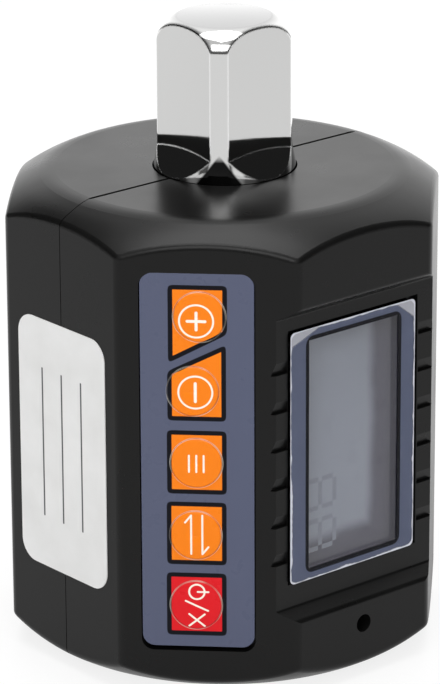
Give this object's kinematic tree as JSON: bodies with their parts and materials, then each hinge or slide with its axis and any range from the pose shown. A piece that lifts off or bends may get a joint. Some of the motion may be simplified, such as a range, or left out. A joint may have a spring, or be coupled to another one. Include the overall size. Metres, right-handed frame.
{
  "type": "digital torque adapter",
  "caption": "Octagonal digital torque adapter with a square drive on top, a square socket below, a membrane keypad and a recessed display.",
  "frame": {"origin": "on the shaft axis at the housing's base", "axes": "+Z along the shaft towards the male square, -Y out of the display face, -X out of the label face"},
  "size_m": [0.0501, 0.05, 0.0759],
  "materials": {
    "blue_grey_print": "printed film",
    "board": "solder mask",
    "buzzer": "moulded",
    "cell": "wrapped",
    "chrome": "polished",
    "components": "moulded",
    "display": "reflective display",
    "felt": "dense felt",
    "film": "clear film",
    "flex": "glossy",
    "foil": "etched foil",
    "holder": "moulded",
    "housing_plastic": "satin",
    "label": "paper sticker",
    "lead": "insulated wire",
    "lens": "clear",
    "nickel": "nickel",
    "orange_key": "printed film",
    "red_key": "printed film",
    "rubber": "matt",
    "screw_steel": "zinc plated",
    "steel": "bright",
    "strip": "layered"
  },
  "bodies": {
    "body": {"front_housing": "housing_plastic", "rear_housing": "housing_plastic", "housing_screws": "screw_steel", "torque_shaft": "chrome", "detent_spring": "steel", "upper_seal": "felt", "lower_seal": "rubber", "strain_gauges": "foil", "gauge_flex": "flex", "main_board": "board", "board_components": "components", "board_screws": "screw_steel", "buzzer": "buzzer", "lcd_panel": "display", "lcd_holder": "holder", "contact_strips": "strip", "lcd_lens": "lens", "lens_border": "blue_grey_print", "lens_film": "film", "keypad_circuit": "flex", "keypad_spacer": "blue_grey_print", "snap_domes": "nickel", "keypad_overlay": "blue_grey_print", "cell_left": "cell", "cell_right": "cell", "contact_plates": "nickel", "contact_springs": "nickel", "battery_leads": "lead", "side_label": "label"},
    "plus_key": {"plus_key": "orange_key"},
    "minus_key": {"minus_key": "orange_key"},
    "mode_key": {"mode_key": "orange_key"},
    "unit_key": {"unit_key": "orange_key"},
    "power_key": {"power_key": "red_key"},
    "detent_ball": {"detent_ball": "steel"},
    "battery_door": {"battery_door": "housing_plastic"}
  },
  "joints": [
    {"name": "plus_press", "type": "slide", "parent": "body", "child": "plus_key", "axis": [0.7071, 0.7071, 0], "range_m": [0, 0.0003], "stiffness_N_per_m": 900},
    {"name": "minus_press", "type": "slide", "parent": "body", "child": "minus_key", "axis": [0.7071, 0.7071, 0], "range_m": [0, 0.0003], "stiffness_N_per_m": 900},
    {"name": "mode_press", "type": "slide", "parent": "body", "child": "mode_key", "axis": [0.7071, 0.7071, 0], "range_m": [0, 0.0003], "stiffness_N_per_m": 900},
    {"name": "unit_press", "type": "slide", "parent": "body", "child": "unit_key", "axis": [0.7071, 0.7071, 0], "range_m": [0, 0.0003], "stiffness_N_per_m": 900},
    {"name": "power_press", "type": "slide", "parent": "body", "child": "power_key", "axis": [0.7071, 0.7071, 0], "range_m": [0, 0.0003], "stiffness_N_per_m": 900},
    {"name": "ball_press", "type": "slide", "parent": "body", "child": "detent_ball", "axis": [0, -1, 0], "range_m": [0, 0.001], "stiffness_N_per_m": 2500},
    {"name": "door_pull", "type": "slide", "parent": "body", "child": "battery_door", "axis": [0, 1, 0], "range_m": [0, 0.03]}
  ]
}
